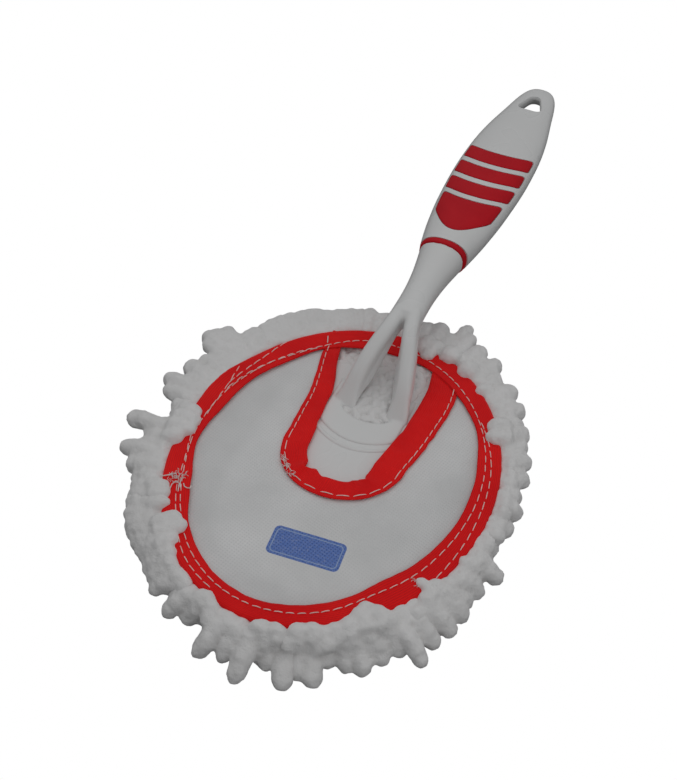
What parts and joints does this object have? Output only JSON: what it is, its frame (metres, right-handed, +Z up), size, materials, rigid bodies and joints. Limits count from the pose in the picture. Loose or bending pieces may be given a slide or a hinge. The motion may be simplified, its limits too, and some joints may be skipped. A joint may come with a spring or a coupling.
{
  "type": "microfiber duster",
  "caption": "Hand duster with an oval chenille cover that pulls over a flat plastic frame, a forked neck, and a slim hollow grip with soft inlays and a hanging hole.",
  "frame": {"origin": "on the surface that the pile rests on, under the middle of the oval head", "axes": "+Z up, +Y from the head to the tip of the handle, +X to the right when seen from the head's front edge"},
  "size_m": [0.2007, 0.428, 0.0547],
  "materials": {
    "white_plastic": "satin",
    "crimson_rubber": "matte",
    "red_tape": "ribbed woven",
    "white_cloth": "woven",
    "white_chenille": "soft pile"
  },
  "bodies": {
    "cover": {"base_cloth": "white_cloth", "pocket_panel": "white_cloth", "outer_binding": "red_tape", "mouth_binding": "red_tape", "pocket_lining": "white_chenille", "chenille_pile_1": "white_chenille", "chenille_pile_2": "white_chenille", "chenille_pile_3": "white_chenille", "chenille_pile_4": "white_chenille", "chenille_pile_5": "white_chenille", "chenille_fringe_1": "white_chenille", "chenille_fringe_2": "white_chenille", "chenille_fringe_3": "white_chenille", "chenille_fringe_4": "white_chenille", "chenille_fringe_5": "white_chenille", "chenille_fringe_6": "white_chenille", "chenille_fringe_7": "white_chenille", "chenille_fringe_8": "white_chenille", "chenille_fringe_9": "white_chenille", "chenille_fringe_10": "white_chenille"},
    "handle": {"head_frame": "white_plastic", "grip": "white_plastic", "collar_ring": "crimson_rubber", "thumb_pad": "crimson_rubber", "grip_band_1": "crimson_rubber", "grip_band_2": "crimson_rubber", "grip_band_3": "crimson_rubber"}
  },
  "joints": [
    {"name": "frame_pull_out", "type": "slide", "parent": "cover", "child": "handle", "axis": [0, 0.7071, 0.7071], "range_m": [0, 0.16], "deforming": ["pocket_panel", "mouth_binding"]}
  ]
}
